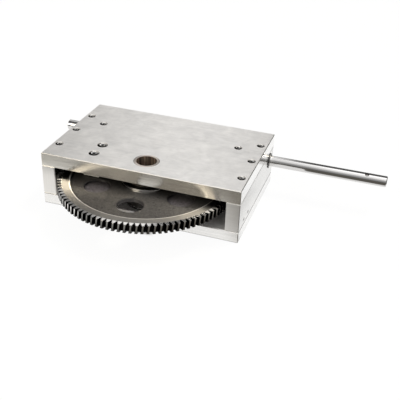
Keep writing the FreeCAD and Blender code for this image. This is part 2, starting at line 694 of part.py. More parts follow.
# Screws: one of each kind is turned with its head upward and the underside of its head at height 0
def cap_screw(label, kind, grip):
    """Socket head screw of one kind, through a plate with this much under the head."""
    reach = kind + "_reach"
    body = turned(label, [
        ("0", "-(%s) - %s" % (grip, reach)),
        (kind + "_thread / 2", "-(%s) - %s" % (grip, reach)),
        (kind + "_thread / 2", "-(%s)" % grip),
        (kind + "_shank / 2", "-(%s)" % grip),
        (kind + "_shank / 2", "0"),
        (kind + "_head / 2", "0"),
        (kind + "_head / 2", kind + "_head_height - head_break"),
        (kind + "_head / 2 - head_break", kind + "_head_height"),
        ("0", kind + "_head_height"),
    ])
    sketch = new_sketch(body, "XY_Plane", kind + "_head_height")
    draw_polygon(sketch, hexagon(kind + "_socket"))
    pocket(body, sketch, kind + "_socket_depth")
    return body


def screw_group(label, master, spots, height, upside_down=False):
    """Equal screws as one group, at spots given from the front left corner of the plates."""
    doc.recompute()
    copies = []
    for across, back in spots:
        copy = master.Shape.copy()
        if upside_down:
            copy.rotate(Vector(0, 0, 0), Vector(1, 0, 0), 180)
        copy.translate(Vector(value("%s - plate_width / 2" % across),
                              value("%s - axis_from_front" % back), value(height)))
        copies.append(copy)
    group = doc.addObject("Part::Feature", label)
    group.Label = label
    group.Shape = Part.makeCompound(copies)
    return keep(group)


top_screw = cap_screw("top_screw", "screw", "top_thickness - screw_recess_depth")
bottom_screw = cap_screw("bottom_screw", "screw", "bottom_thickness - base_recess_depth")
pad_screw = cap_screw("pad_screw", "pad", "top_thickness - pad_recess_depth")
UNDER_TOP_HEAD = "cavity_top + top_thickness - screw_recess_depth"
UNDER_PAD_HEAD = "cavity_top + top_thickness - pad_recess_depth"
screw_group("top_block_screws", top_screw, BLOCK_SPOTS, UNDER_TOP_HEAD)
screw_group("top_post_screws", top_screw, POST_SPOTS, UNDER_TOP_HEAD)
screw_group("bottom_block_screws", bottom_screw, BLOCK_SPOTS, "base_recess_depth", True)
screw_group("bottom_post_screws", bottom_screw, POST_SPOTS, "base_recess_depth", True)
screw_group("steady_pad_screws", pad_screw, PAD_SPOTS, UNDER_PAD_HEAD)

# Set screws in the lower hub, one square to the other
set_screw = turned("set_screw", ring_profile("0", "set_screw_diameter / 2", "set_screw_length"))
set_socket = new_sketch(set_screw, "XY_Plane", "set_screw_length")
draw_polygon(set_socket, hexagon("set_screw_socket"))
pocket(set_screw, set_socket, "set_screw_socket_depth")
doc.recompute()
copies = []
for axis, degrees in ((Vector(1, 0, 0), -90), (Vector(0, 1, 0), 90)):
    copy = set_screw.Shape.copy()
    copy.translate(Vector(0, 0, value("set_screw_start")))
    copy.rotate(Vector(0, 0, 0), axis, degrees)
    copy.translate(Vector(0, 0, value("hub_bottom + set_screw_height")))
    copies.append(copy)
set_screws = keep(doc.addObject("Part::Feature", "wheel_set_screws"))
set_screws.Label = "wheel_set_screws"
set_screws.Shape = Part.makeCompound(copies)

doc.recompute()

# Every object is checked before anything is written
for item in doc.Objects:
    if "Invalid" in item.State or "Error" in item.State:
        raise RuntimeError("%s did not build: %s" % (item.Label, item.State))
for item in NODES:
    if item.Shape.isNull() or not item.Shape.isValid() or item.Shape.Volume <= 0:
        raise RuntimeError("%s has no sound shape" % item.Label)

os.makedirs("parts", exist_ok=True)
for item in NODES:
    item.Shape.exportStep("parts/%s.step" % item.Label)
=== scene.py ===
import json
import math

import bpy
from mathutils import Matrix, Vector


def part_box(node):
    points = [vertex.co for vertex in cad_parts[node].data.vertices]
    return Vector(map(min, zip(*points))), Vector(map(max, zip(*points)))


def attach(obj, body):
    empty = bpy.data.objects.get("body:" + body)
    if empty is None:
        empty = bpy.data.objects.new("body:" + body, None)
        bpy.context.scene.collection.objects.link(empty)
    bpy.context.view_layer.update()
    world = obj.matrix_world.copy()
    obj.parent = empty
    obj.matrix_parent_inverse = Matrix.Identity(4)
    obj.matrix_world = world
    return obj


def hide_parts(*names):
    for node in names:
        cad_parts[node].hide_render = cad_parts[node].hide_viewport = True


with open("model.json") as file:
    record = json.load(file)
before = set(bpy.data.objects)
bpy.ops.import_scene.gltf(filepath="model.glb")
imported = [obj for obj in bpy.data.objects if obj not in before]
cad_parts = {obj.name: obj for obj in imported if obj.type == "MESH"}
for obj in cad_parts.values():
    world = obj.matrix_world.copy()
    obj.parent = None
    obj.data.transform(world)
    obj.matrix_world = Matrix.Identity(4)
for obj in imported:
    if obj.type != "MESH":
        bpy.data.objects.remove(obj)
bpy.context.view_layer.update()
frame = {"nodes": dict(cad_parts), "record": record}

# Looks of an open worm gearbox: finishes of its pieces, its cap screws, the studio and the camera.
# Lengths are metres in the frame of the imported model: wheel axis at the origin, shaft along +X, +Z up.

# Sizes of the gearbox that the finishes and the screws follow
MM = 0.001
PLATE_FRONT = -29.5 * MM
BUSH_RADIUS = 15.875 * MM

TOOTH_COUNT = 100
TOOTH_TIP_RADIUS = 107.95 * MM
TOOTH_ROOT_RADIUS = 103.387 * MM
TOOTH_PHASE = 0.405             # pitches from +X to the middle of a tooth, at TOOTH_PHASE_HEIGHT
TOOTH_PHASE_HEIGHT = 35.2 * MM
TOOTH_SLANT = 18.27             # pitches that a tooth goes round for each metre of height
RIM_INNER_RADIUS = 92.2 * MM
RIM_TOP = 45.95 * MM
RIM_BOTTOM = 34.84 * MM
WEB_TOP = 42.52 * MM
HUB_RADIUS = 30.0 * MM

WORM_REACH = 26.6 * MM
SHAFT_END = 279.4 * MM
SHAFT_BACK = 115.358 * MM
SHAFT_HEIGHT = 40.396 * MM
CROSS_HOLE_X = 254.0 * MM
CROSS_HOLE_RADIUS = 2.45 * MM
CROSS_HOLE_LEAN = 23.0          # degrees from upright, towards the front

BLOCK_SCREW_X = 118.27 * MM
BLOCK_SCREW_ROWS = (2.2 * MM, 48.2 * MM, 94.2 * MM)
POST_SCREW = (93.01 * MM, 77.49 * MM)
PAD_SCREW_X = -67.0 * MM
PAD_SCREW_ROWS = (-5.4 * MM, 19.0 * MM)
SCREW_TOP = 70.15 * MM
LOWER_SCREW_TOP = 0.5 * MM      # the lower screws point up, so the tops of their heads look down

# Camera, fitted to the corners of the plates, the bush, the wheel and the shaft
CAMERA_PLACE = (0.28374, -0.69384, 0.45900)
CAMERA_AZIMUTH = 17.1586
CAMERA_ELEVATION = 30.5412
CAMERA_ROLL = 2.4909
CAMERA_LENS = 62.77
CAMERA_SENSOR = 36.0


# Helpers for node trees

VALUE = "NodeSocketFloat"
VECTOR = "NodeSocketVector"


def add(tree, kind, inputs, **settings):
    """Adds a node, sets its properties, then fills its inputs with values or links."""
    made = tree.nodes.new(kind)
    for name, setting in settings.items():
        setattr(made, name, setting)
    for key, given in inputs.items():
        socket = made.inputs[key]
        if isinstance(given, bpy.types.NodeSocket):
            tree.links.new(given, socket)
        elif socket.type == "RGBA":
            socket.default_value = (*given, 1.0)
        else:
            socket.default_value = given
    return made


def calc(tree, operation, first, second=0.0, third=0.0):
    """One step of arithmetic, in a shader or geometry tree."""
    made = add(tree, "ShaderNodeMath", {0: first, 1: second, 2: third}, operation=operation)
    return made.outputs[0]


def product(tree, first, *others):
    """Values or masks multiplied together."""
    for other in others:
        first = calc(tree, "MULTIPLY", first, other)
    return first


def largest(tree, first, *others):
    """The largest of several values or masks."""
    for other in others:
        first = calc(tree, "MAXIMUM", first, other)
    return first


def sum_of(tree, base, *shares):
    """A base amount plus shares of several values."""
    for value, share in shares:
        base = calc(tree, "MULTIPLY_ADD", value, share, base)
    return base


def remap(tree, value, start, end, to_start=0.0, to_end=1.0, interpolation="SMOOTHSTEP"):
    """Carries a value between two ranges and holds it at their ends, by default 0 at start and 1 at end."""
    inputs = {"Value": value, "From Min": start, "From Max": end, "To Min": to_start, "To Max": to_end}
    return add(tree, "ShaderNodeMapRange", inputs, interpolation_type=interpolation).outputs[0]


def band(tree, value, rise, fall):
    """A mask that rises over one range of a value and falls again over another."""
    return product(tree, remap(tree, value, *rise), remap(tree, value, fall[1], fall[0]))


def mix_value(tree, factor, first, second):
    """Number between two others."""
    return add(tree, "ShaderNodeMix", {0: factor, 2: first, 3: second}, data_type="FLOAT").outputs[0]


def mix_vector(tree, factor, first, second):
    """Vector between two others."""
    return add(tree, "ShaderNodeMix", {0: factor, 4: first, 5: second}, data_type="VECTOR").outputs[1]


def mix_colour(tree, factor, first, second):
    """Colour between two others."""
    return add(tree, "ShaderNodeMix", {0: factor, 6: first, 7: second}, data_type="RGBA").outputs[2]


def painted(tree, colour, *layers):
    """A colour under layers of others, each laid on by its mask."""
    for mask, shade in layers:
        colour = mix_colour(tree, mask, colour, shade)
    return colour


def vector_step(tree, operation, first, second=(0.0, 0.0, 0.0)):
    """One step of vector arithmetic."""
    return add(tree, "ShaderNodeVectorMath", {0: first, 1: second}, operation=operation).outputs[0]


def scaled(tree, vector, amount):
    """A colour or vector times a number."""
    return add(tree, "ShaderNodeVectorMath", {0: vector, 3: amount}, operation="SCALE").outputs[0]


def parts_of(tree, vector):
    """The x, y and z of a vector."""
    made = add(tree, "ShaderNodeSeparateXYZ", {0: vector})
    return made.outputs[0], made.outputs[1], made.outputs[2]


def radius_of(tree, across, along):
    """Distance from an axis."""
    squares = calc(tree, "ADD", product(tree, across, across), product(tree, along, along))
    return calc(tree, "SQRT", squares)


def turned_to_world(tree, direction):
    """A direction of the piece as the world sees it."""
    return add(tree, "ShaderNodeVectorTransform", {0: direction}, vector_type="VECTOR",
               convert_from="OBJECT", convert_to="WORLD").outputs[0]


def new_group(name, inputs, outputs):
    """An empty shader group with named sockets: the group, its given values and its results."""
    group = bpy.data.node_groups.new(name, "ShaderNodeTree")
    for label, kind, start in inputs:
        socket = group.interface.new_socket(label, in_out="INPUT", socket_type=kind)
        socket.default_value = start
    for label, kind in outputs:
        group.interface.new_socket(label, in_out="OUTPUT", socket_type=kind)
    given = group.nodes.new("NodeGroupInput").outputs
    results = group.nodes.new("NodeGroupOutput").inputs
    return group, given, results


# Effects that several finishes share

def spread_noise(group, noise, contrast):
    """Noise spread about its middle by a contrast and held between 0 and 1."""
    from_middle = calc(group, "SUBTRACT", noise.outputs[0], 0.5)
    spread = calc(group, "MULTIPLY_ADD", from_middle, contrast, 0.5)
    return calc(group, "MINIMUM", calc(group, "MAXIMUM", spread, 0.0), 1.0)


def brush_lines_group():
    """Fine lines of a file, belt or cutter: long along one direction, close together across it."""
    inputs = [("Place", VECTOR, (0, 0, 0)), ("Lines per metre", VECTOR, (20, 2000, 2000)),
              ("Contrast", VALUE, 1.0)]
    group, given, results = new_group("brush lines", inputs, [("Lines", VALUE)])
    stretched = vector_step(group, "MULTIPLY", given["Place"], given["Lines per metre"])
    noise = add(group, "ShaderNodeTexNoise",
                {"Vector": stretched, "Scale": 1.0, "Detail": 4.0, "Roughness": 0.65})
    group.links.new(spread_noise(group, noise, given["Contrast"]), results["Lines"])
    return group


def smudges_group():
    """Soft clouds left by handling, oil and wiping."""
    inputs = [("Place", VECTOR, (0, 0, 0)), ("Size", VALUE, 30.0 * MM), ("Contrast", VALUE, 1.0)]
    group, given, results = new_group("smudges", inputs, [("Cloud", VALUE)])
    scale = calc(group, "DIVIDE", 1.0, given["Size"])
    noise = add(group, "ShaderNodeTexNoise",
                {"Vector": given["Place"], "Scale": scale, "Detail": 5.0, "Roughness": 0.55,
                 "Distortion": 0.6})
    group.links.new(spread_noise(group, noise, given["Contrast"]), results["Cloud"])
    return group


def turning_marks_group():
    """Rings that a lathe tool leaves, along a radius or a length."""
    inputs = [("Coordinate", VALUE, 0.0), ("Pitch", VALUE, 0.4 * MM), ("Contrast", VALUE, 1.0)]
    group, given, results = new_group("turning marks", inputs, [("Marks", VALUE)])
    steps = calc(group, "DIVIDE", given["Coordinate"], given["Pitch"])
    noise = add(group, "ShaderNodeTexNoise", {"W": steps, "Scale": 1.0, "Detail": 3.0, "Roughness": 0.7},
                noise_dimensions="1D")
    group.links.new(spread_noise(group, noise, given["Contrast"]), results["Marks"])
    return group


def edge_wear_group():
    """Edges, where a rounded normal leaves the true one."""
    inputs = [("Reach", VALUE, 0.6 * MM), ("Strength", VALUE, 1.0)]
    group, given, results = new_group("edge wear", inputs, [("Edge", VALUE)])
    rounded = add(group, "ShaderNodeBevel", {"Radius": given["Reach"]}, samples=6).outputs[0]
    plain = add(group, "ShaderNodeNewGeometry", {}).outputs["Normal"]
    both = add(group, "ShaderNodeVectorMath", {0: rounded, 1: plain}, operation="DOT_PRODUCT")
    turned = remap(group, both.outputs["Value"], 0.995, 0.9)
    group.links.new(product(group, turned, given["Strength"]), results["Edge"])
    return group


def corner_shade_group():
    """Corners and gaps darkened where little of the surround is open: painted shade."""
    inputs = [("Reach", VALUE, 4.0 * MM), ("Strength", VALUE, 1.0)]
    group, given, results = new_group("corner shade", inputs, [("Painted shade", VALUE)])
    open_sky = add(group, "ShaderNodeAmbientOcclusion", {"Distance": given["Reach"]}, samples=8)
    closed = remap(group, open_sky.outputs["AO"], 0.8, 0.35)
    group.links.new(product(group, closed, given["Strength"]), results["Painted shade"])
    return group


def casting_group():
    """Skin of a sand casting: grains with a few larger pits."""
    inputs = [("Place", VECTOR, (0, 0, 0)), ("Grain", VALUE, 1.2 * MM)]
    group, given, results = new_group("casting skin", inputs, [("Height", VALUE)])
    scale = calc(group, "DIVIDE", 1.0, given["Grain"])
    grains = add(group, "ShaderNodeTexNoise", {"Vector": given["Place"], "Scale": scale, "Detail": 3.0})
    pit_scale = product(group, scale, 0.22)
    pits = add(group, "ShaderNodeTexVoronoi", {"Vector": given["Place"], "Scale": pit_scale})
    pit_mask = remap(group, pits.outputs["Distance"], 0.28, 0.08)
    height = calc(group, "SUBTRACT", grains.outputs[0], product(group, pit_mask, 0.25))
    group.links.new(height, results["Height"])
    return group


BRUSH_LINES = brush_lines_group()
SMUDGES = smudges_group()
TURNING_MARKS = turning_marks_group()
EDGE_WEAR = edge_wear_group()
CORNER_SHADE = corner_shade_group()
CASTING = casting_group()


def effect(tree, group, inputs):
    """Places a shared effect in a finish and gives its result."""
    return add(tree, "ShaderNodeGroup", inputs, node_tree=group).outputs[0]


def lines_on(tree, place, per_metre, contrast):
    """Brush lines in a finish."""
    return effect(tree, BRUSH_LINES, {"Place": place, "Lines per metre": per_metre, "Contrast": contrast})


def cloud_on(tree, place, size, contrast):
    """Smudges in a finish."""
    return effect(tree, SMUDGES, {"Place": place, "Size": size, "Contrast": contrast})


def marks_on(tree, coordinate, pitch, contrast):
    """Turning marks in a finish."""
    return effect(tree, TURNING_MARKS, {"Coordinate": coordinate, "Pitch": pitch, "Contrast": contrast})


def edge_on(tree, reach, strength):
    """Edges in a finish."""
    return effect(tree, EDGE_WEAR, {"Reach": reach, "Strength": strength})


def corner_shade_on(tree, reach, strength):
    """Painted shade in the corners of a finish."""
    return effect(tree, CORNER_SHADE, {"Reach": reach, "Strength": strength})


# Finishes of the gearbox

# Pale aluminium: rubbed edges, and painted light on the front-facing walls of screw wells
PALE_WEAR_AND_PAINTED_LIGHT = (0.93, 0.92, 0.91)
# Near black laid on as painted shade on the wheel's recess walls and tooth edges
PAINTED_SHADE_BLACK = (0.015, 0.014, 0.013)
# Near black laid on as painted shade in corners, gaps and screw wells
CORNER_SHADE_BLACK = (0.012, 0.011, 0.010)


def new_finish(name, **constants):
    """A material with one Principled surface: material, tree, surface, and the piece's place and normal."""
    material = bpy.data.materials.new(name)
    material.use_nodes = True
    tree = material.node_tree
    surface = tree.nodes["Principled BSDF"]
    for label, amount in constants.items():
        surface.inputs[label.replace("_", " ")].default_value = amount
    coordinates = add(tree, "ShaderNodeTexCoord", {})
    return material, tree, surface, coordinates.outputs["Object"], coordinates.outputs["Normal"]


def finish_with(tree, surface, colour, roughness, height, depth, metal=None, facing=None):
    """Joins colour, roughness and a fine relief to the surface, with metal and facing where given."""
    tree.links.new(colour, surface.inputs["Base Color"])
    tree.links.new(roughness, surface.inputs["Roughness"])
    if metal is not None:
        tree.links.new(metal, surface.inputs["Metallic"])
    relief = add(tree, "ShaderNodeBump", {"Height": height, "Distance": depth, "Strength": 1.0})
    if facing is not None:
        tree.links.new(facing, relief.inputs["Normal"])
    tree.links.new(relief.outputs[0], surface.inputs["Normal"])


def square_on(tree, component):
    """Mask of faces that look squarely along an axis, either way, from that part of their normal."""
    return remap(tree, calc(tree, "ABSOLUTE", component), 0.75, 0.97)


def spread_across(tree, surface, direction):
    """Draws highlights out along a direction of the piece, across the lines of its finish."""
    tree.links.new(turned_to_world(tree, direction), surface.inputs["Tangent"])


def milled_spread(tree, normal, level_front):
    """Direction in which a milled piece spreads its highlights: to the back, but not on its front."""
    _, along, _ = parts_of(tree, normal)
    to_front = remap(tree, calc(tree, "ABSOLUTE", along), 0.6, 0.8)
    on_front = (1.0, 0.0, 0.0) if level_front else (0.0, 0.0, 1.0)
    return mix_vector(tree, to_front, (0.0, 1.0, 0.0), on_front)


def plate_finish(name, face_colour, side_colour, face_roughness, side_roughness, face_metal, level_front):
    """Aluminium plate: smudged satin faces, bright milled sides, screw wells painted dark as shade with
    their back wall painted pale as lit.
    """
    material, tree, surface, place, normal = new_finish(name, Metallic=1.0, Anisotropic=0.7)
    sideways, along, upward = parts_of(tree, normal)
    _, back, _ = parts_of(tree, place)
    flat = square_on(tree, upward)
    end = square_on(tree, sideways)
    behind_front = remap(tree, back, PLATE_FRONT + 1.0 * MM, PLATE_FRONT + 2.0 * MM)
    # Walls of the screw wells that face the front: painted light, pale and without metal
    painted_lit_back_wall = product(tree, behind_front, remap(tree, along, -0.55, -0.80))
    spread_across(tree, surface, milled_spread(tree, normal, level_front))

    cloud = cloud_on(tree, place, 45.0 * MM, 1.5)
    patches = cloud_on(tree, place, 18.0 * MM, 2.0)
    fine_cloud = cloud_on(tree, place, 9.0 * MM, 1.2)
    lines = lines_on(tree, place, (14.0, 14.0, 900.0), 2.0)
    wipes = lines_on(tree, place, (30.0, 420.0, 420.0), 1.8)

    tone = sum_of(tree, 0.71, (wipes, 0.12), (cloud, 0.12), (fine_cloud, 0.16), (patches, 0.18))
    face = scaled(tree, face_colour, tone)
    side = mix_colour(tree, end, side_colour, (0.98, 0.975, 0.965))
    side = scaled(tree, side, sum_of(tree, 0.86, (lines, 0.20)))
    colour = painted(tree, mix_colour(tree, flat, side, face),
                     (edge_on(tree, 0.5 * MM, 0.7), PALE_WEAR_AND_PAINTED_LIGHT),
                     # corners and screw wells darkened: painted shade
                     (corner_shade_on(tree, 4.0 * MM, 1.0), CORNER_SHADE_BLACK),
                     (painted_lit_back_wall, PALE_WEAR_AND_PAINTED_LIGHT))

    satin = sum_of(tree, face_roughness - 0.07, (cloud, 0.07), (fine_cloud, 0.07))
    bright = sum_of(tree, side_roughness - 0.05, (lines, 0.10))
    metal = mix_value(tree, flat, mix_value(tree, end, 0.93, 1.0), face_metal)
    metal = mix_value(tree, painted_lit_back_wall, metal, 0.0)
    height = mix_value(tree, flat, lines, product(tree, fine_cloud, 0.4))
    finish_with(tree, surface, colour, mix_value(tree, flat, bright, satin), height, 0.004 * MM, metal)
    return material


def block_finish(name, colour, lines_per_metre, level_front):
    """Aluminium end block: bright, with the fine lines of a belt."""
    material, tree, surface, place, normal = new_finish(name, Metallic=1.0, Anisotropic=0.9)
    sideways, _, _ = parts_of(tree, normal)
    end = square_on(tree, sideways)
    spread_across(tree, surface, milled_spread(tree, normal, level_front))
    lines = lines_on(tree, place, lines_per_metre, 1.8)
    cloud = cloud_on(tree, place, 20.0 * MM, 1.2)
    tone = product(tree, sum_of(tree, 0.90, (lines, 0.18)), sum_of(tree, 0.95, (cloud, 0.09)))
    # Faces to the left and right are painted paler than the front: painted light
    shade = scaled(tree, mix_colour(tree, end, colour, (0.88, 0.875, 0.86)), tone)
    shade = painted(tree, shade, (edge_on(tree, 0.5 * MM, 0.8), PALE_WEAR_AND_PAINTED_LIGHT))
    roughness = sum_of(tree, mix_value(tree, end, 0.30, 0.16), (lines, 0.12))
    finish_with(tree, surface, shade, roughness, lines, 0.005 * MM)
    return material


WHEEL_COLOURS = {
    "rim": (0.205, 0.196, 0.181),
    # Painted highlight: the rim's inner edge, paler than the rim
    "rim_edge_highlight": (0.54, 0.52, 0.48),
    "web": (0.064, 0.059, 0.054),
    "recess": (0.165, 0.150, 0.156),
    # Painted shade: rims and corners of the web's recesses and holes, near black
    "pit_edge_shade": (0.010, 0.009, 0.009),
    # Painted shade: the hub's top, under the plate, near black
    "hub_top_shade": (0.03, 0.028, 0.026),
    # Painted highlight: the hub's upper wall, pale
    "hub_wall_highlight": (0.70, 0.68, 0.65),
    "rubbed": (0.85, 0.83, 0.80),
    "tooth": (0.78, 0.76, 0.73),
    # Painted shade: the tooth flanks in the gaps, near black
    "tooth_gap_shade": (0.010, 0.009, 0.008),
}


def wheel_zones(tree, place, normal):
    """Measures of the worm wheel's surface, and masks that are 1 in a zone of it and 0 elsewhere."""
    across, along, high = parts_of(tree, place)
    _, _, upward = parts_of(tree, normal)
    radius = radius_of(tree, across, along)
    upright = remap(tree, calc(tree, "ABSOLUTE", upward), 0.6, 0.3)
    web = band(tree, radius, (HUB_RADIUS + 0.6 * MM, HUB_RADIUS + 1.4 * MM),
               (RIM_INNER_RADIUS - 1.2 * MM, RIM_INNER_RADIUS - 0.4 * MM))
    rim_edge_highlight = band(tree, radius, (RIM_INNER_RADIUS - 0.1 * MM, RIM_INNER_RADIUS + 0.1 * MM),
                    (RIM_INNER_RADIUS + 1.2 * MM, RIM_INNER_RADIUS + 2.0 * MM))
    hub_skin = band(tree, radius, (HUB_RADIUS - 2.0 * MM, HUB_RADIUS - 1.5 * MM),
                    (HUB_RADIUS + 0.3 * MM, HUB_RADIUS + 0.6 * MM))
    above_web = remap(tree, high, WEB_TOP + 1.2 * MM, WEB_TOP + 2.2 * MM)
    in_teeth = remap(tree, radius, TOOTH_ROOT_RADIUS - 1.2 * MM, TOOTH_ROOT_RADIUS - 0.6 * MM)
    below_tip = remap(tree, radius, TOOTH_TIP_RADIUS - 0.03 * MM, TOOTH_TIP_RADIUS - 0.15 * MM)
    return {
        "high": high,
        "radius": radius,
        "angle": calc(tree, "ARCTAN2", along, across),
        "outward": add(tree, "ShaderNodeCombineXYZ", {0: across, 1: along, 2: 0.0}).outputs[0],
        "upward": upward,
        "upright": upright,
        "web": web,
        "below_web": remap(tree, high, WEB_TOP - 0.4 * MM, WEB_TOP - 1.0 * MM),
        "pit_wall_shade": product(tree, web, upright),
        "rim_edge_highlight": rim_edge_highlight,
        "hub_top_shade": remap(tree, radius, HUB_RADIUS - 0.5 * MM, HUB_RADIUS - 1.2 * MM),
        "hub_wall_highlight": product(tree, upright, hub_skin, above_web),
        "teeth": in_teeth,
        "tooth_side": product(tree, in_teeth, upright),
        "tooth_gap_shade": product(tree, upright, in_teeth, below_tip),
        "tooth_end": product(tree, in_teeth, remap(tree, upward, 0.85, 0.95)),
    }


def tooth_colour(tree, zones):
    """Bright metal along the middle of each slanted tooth; its edges and chamfers painted near black as
    shade, and its upright faces painted darker lower down and brighter at the top.
    """
    # Upright tooth faces: painted shading, darker lower down and brighter at the top
    crest_painted_shading = remap(tree, zones["high"], RIM_BOTTOM, RIM_TOP - 1.0 * MM, 0.4, 1.2)
    bright = scaled(tree, WHEEL_COLOURS["tooth"], mix_value(tree, zones["upright"], 1.0, crest_painted_shading))
    pitches = product(tree, zones["angle"], TOOTH_COUNT / (2.0 * math.pi))
    slant = product(tree, calc(tree, "SUBTRACT", zones["high"], TOOTH_PHASE_HEIGHT), TOOTH_SLANT)
    shifted = calc(tree, "ADD", calc(tree, "SUBTRACT", pitches, slant), 0.5 - TOOTH_PHASE)
    from_middle = calc(tree, "ABSOLUTE", calc(tree, "SUBTRACT", calc(tree, "FRACT", shifted), 0.5))
    half_width = remap(tree, zones["radius"], TOOTH_TIP_RADIUS, TOOTH_ROOT_RADIUS, 0.11, 0.36, "LINEAR")
    tooth_edge_shade = remap(tree, calc(tree, "SUBTRACT", from_middle, half_width), -0.01, 0.04)
    broken_edge = band(tree, zones["upward"], (0.4, 0.5), (0.8, 0.9))
    # Edges of each tooth and its chamfers painted near black: painted shade
    return painted(tree, bright, (largest(tree, tooth_edge_shade, product(tree, broken_edge, 0.7)), PAINTED_SHADE_BLACK))


def wheel_facing(tree, zones):
    """Normals of the wheel: tooth ends lean outwards a little, the rim's inner edge looks straight up."""
    away = vector_step(tree, "NORMALIZE", turned_to_world(tree, zones["outward"]))
    lean = scaled(tree, away, product(tree, zones["tooth_end"], 0.28))
    true_normal = add(tree, "ShaderNodeNewGeometry", {}).outputs["Normal"]
    leant = vector_step(tree, "ADD", true_normal, lean)
    up = turned_to_world(tree, (0.0, 0.0, 1.0))
    return vector_step(tree, "NORMALIZE", mix_vector(tree, zones["rim_edge_highlight"], leant, up))


def wheel_finish():
    """Worm wheel: cast web with recesses, turned rim and hub, bright teeth; painted shade in the gaps,
    recesses, corners and on the hub's top, painted highlights on the hub wall and rim edge.
    """
    material, tree, surface, place, normal = new_finish("wheel_iron", Metallic=1.0, Anisotropic=0.9)
    zones = wheel_zones(tree, place, normal)
    web = zones["web"]
    spread_across(tree, surface, mix_vector(tree, zones["upright"], zones["outward"], (0.0, 0.0, 1.0)))

    skin = effect(tree, CASTING, {"Place": place, "Grain": 1.6 * MM})
    marks = marks_on(tree, zones["radius"], 0.45 * MM, 2.2)
    broad_marks = marks_on(tree, zones["radius"], 2.1 * MM, 1.6)
    cloud = cloud_on(tree, place, 20.0 * MM, 1.6)
    # Corners darkened, more below the web level, and a wide darkening under the top plate: painted shade
    near_shade = product(tree, corner_shade_on(tree, 3.5 * MM, 1.0), mix_value(tree, zones["below_web"], 0.5, 0.9))
    painted_shade = largest(tree, near_shade, corner_shade_on(tree, 20.0 * MM, 0.75))
    rubbed = product(tree, edge_on(tree, 0.5 * MM, 0.9), sum_of(tree, 1.0, (web, -0.75)),
                     sum_of(tree, 1.0, (zones["tooth_side"], -1.0)))
    pit_edge_shade = product(tree, web, edge_on(tree, 1.2 * MM, 1.0))

    ring_tone = sum_of(tree, 0.78, (marks, 0.22), (broad_marks, 0.2))
    rim = scaled(tree, WHEEL_COLOURS["rim"], ring_tone)
    cast = mix_colour(tree, zones["below_web"], WHEEL_COLOURS["web"], WHEEL_COLOURS["recess"])
    cast = scaled(tree, cast, sum_of(tree, -0.17, (cloud, 0.35), (skin, 2.0)))
    colour = painted(tree, mix_colour(tree, web, rim, cast),
                     (zones["hub_top_shade"], WHEEL_COLOURS["hub_top_shade"]),
                     (zones["rim_edge_highlight"], WHEEL_COLOURS["rim_edge_highlight"]),
                     (zones["teeth"], tooth_colour(tree, zones)),
                     # walls of the web's recesses and holes, near black: painted shade
                     (product(tree, zones["pit_wall_shade"], 0.85), PAINTED_SHADE_BLACK),
                     (rubbed, WHEEL_COLOURS["rubbed"]),
                     (pit_edge_shade, WHEEL_COLOURS["pit_edge_shade"]),
                     (painted_shade, CORNER_SHADE_BLACK),
                     (zones["hub_wall_highlight"], WHEEL_COLOURS["hub_wall_highlight"]),
                     (product(tree, zones["tooth_gap_shade"], 0.96), WHEEL_COLOURS["tooth_gap_shade"]))

    machined = sum_of(tree, mix_value(tree, zones["teeth"], 0.30, 0.06), (marks, 0.12))
    roughness = mix_value(tree, web, machined, sum_of(tree, 0.48, (cloud, 0.15)))
    metal = mix_value(tree, zones["rim_edge_highlight"], mix_value(tree, web, 1.0, 0.25), 0.55)
    height = mix_value(tree, web, product(tree, marks, 0.12), skin)
    finish_with(tree, surface, colour, roughness, height, 0.05 * MM, metal, wheel_facing(tree, zones))
    return material


def bush_finish(name, colour, bore_colour):
    """Oiled bronze: turned rings on the ends, painted brighter to the left and right as highlight, and a
    bore painted dark as shade, with streaks and blotches.
    """
    material, tree, surface, place, normal = new_finish(name, Metallic=1.0)
    across, along, _ = parts_of(tree, place)
    _, _, upward = parts_of(tree, normal)
    radius = radius_of(tree, across, along)
    wall = remap(tree, calc(tree, "ABSOLUTE", upward), 0.7, 0.3)
    sideways = calc(tree, "DIVIDE", across, calc(tree, "MAXIMUM", radius, 1.0 * MM))
    sides = product(tree, sideways, sideways)
    # Dark at the outer edge, to the left and right only
    dark_outer_edge_sides = product(tree, sides, remap(tree, radius, BUSH_RADIUS - 0.7 * MM, BUSH_RADIUS - 0.4 * MM))

    cloud = cloud_on(tree, place, 8.0 * MM, 2.4)
    marks = marks_on(tree, radius, 0.5 * MM, 1.6)
    stripes = lines_on(tree, place, (420.0, 420.0, 15.0), 2.4)
    face = scaled(tree, colour, sum_of(tree, 0.72, (cloud, 0.3), (marks, 0.25)))
    # End rings painted 1.9 times brighter to the left and right: painted highlight
    face = mix_colour(tree, sides, scaled(tree, face, 1.9), face)
    _, green, blue = bore_colour
    bore = mix_colour(tree, cloud, bore_colour, (green, green, blue))
    bore = scaled(tree, bore, sum_of(tree, 0.3, (product(tree, stripes, stripes), 3.2)))
    shade = painted(tree, mix_colour(tree, wall, face, bore),
                    (edge_on(tree, 0.4 * MM, 0.5), (0.72, 0.66, 0.60)),
                    (dark_outer_edge_sides, (0.05, 0.04, 0.035)))

    roughness = mix_value(tree, wall, sum_of(tree, 0.28, (marks, 0.15)), sum_of(tree, 0.22, (cloud, 0.25)))
    metal = mix_value(tree, wall, 1.0, 0.3)
    finish_with(tree, surface, shade, roughness, marks, 0.006 * MM, metal)
    return material


